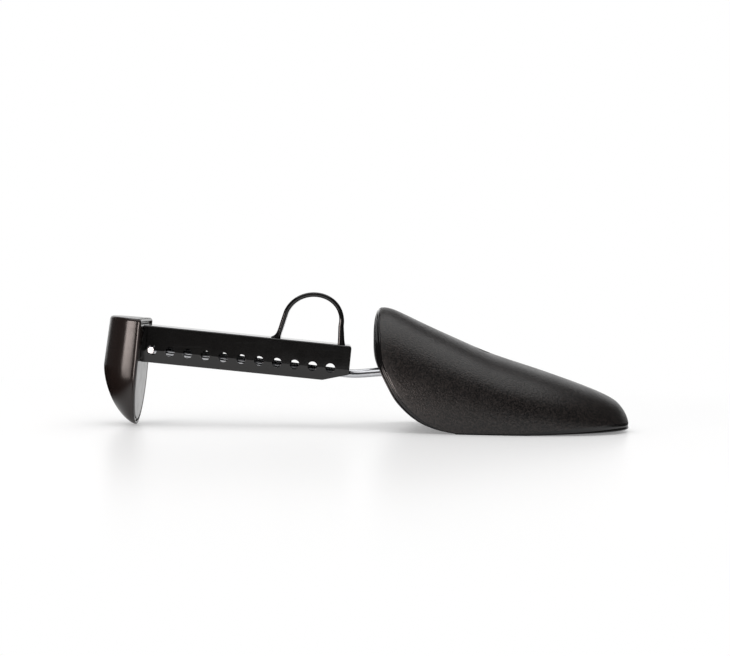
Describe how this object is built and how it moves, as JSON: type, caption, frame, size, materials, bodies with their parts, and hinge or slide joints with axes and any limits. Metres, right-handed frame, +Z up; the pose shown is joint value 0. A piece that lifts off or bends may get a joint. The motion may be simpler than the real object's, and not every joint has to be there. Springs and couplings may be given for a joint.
{
  "type": "shoe shaper",
  "caption": "Adjustable shoe shaper: hollow black plastic toe piece on a chromed wire spring, and a channel arm with peg holes, a finger loop and a rounded heel piece.",
  "frame": {"origin": "on the floor, under the middle of the whole object at its shortest setting", "axes": "+X towards the toe and -X towards the heel, +Z up, Y across; the object is the same on both sides of Y = 0"},
  "size_m": [0.2384, 0.0796, 0.0609],
  "materials": {
    "grained_black_plastic": "fine moulded grain, low sheen",
    "satin_black_plastic": "smooth moulded, satin",
    "glossy_black_plastic": "smooth moulded, glossy",
    "chromed_steel": "bright chrome plate",
    "zinc_plated_steel": "dull zinc plate"
  },
  "bodies": {
    "toe": {"toe_shell": "grained_black_plastic", "toe_clamp_plate": "satin_black_plastic", "clamp_screw_rear": "zinc_plated_steel", "clamp_screw_front": "zinc_plated_steel"},
    "wire": {"spring_wire": "chromed_steel"},
    "hooks": {"hook_end_left": "chromed_steel", "hook_end_right": "chromed_steel"},
    "arm": {"arm_channel": "satin_black_plastic", "heel_shell": "glossy_black_plastic", "heel_plate": "satin_black_plastic", "heel_screw_left": "zinc_plated_steel", "heel_screw_right": "zinc_plated_steel"}
  },
  "joints": [
    {"name": "toe_pivot", "type": "hinge", "parent": "toe", "child": "wire", "pos_m": [0.0296, 0, 0.0274], "axis": [0, 1, 0], "range_deg": [-12, 12]},
    {"name": "arm_swing", "type": "hinge", "parent": "wire", "child": "hooks", "pos_m": [-0.0964, 0, 0.03404], "axis": [0, -1, 0], "range_deg": [-4, 75]},
    {"name": "length_adjust", "type": "slide", "parent": "hooks", "child": "arm", "axis": [-0.9962, 0, 0.0872], "range_m": [0, 0.08], "deforming": ["hook_end_left", "hook_end_right"]}
  ]
}
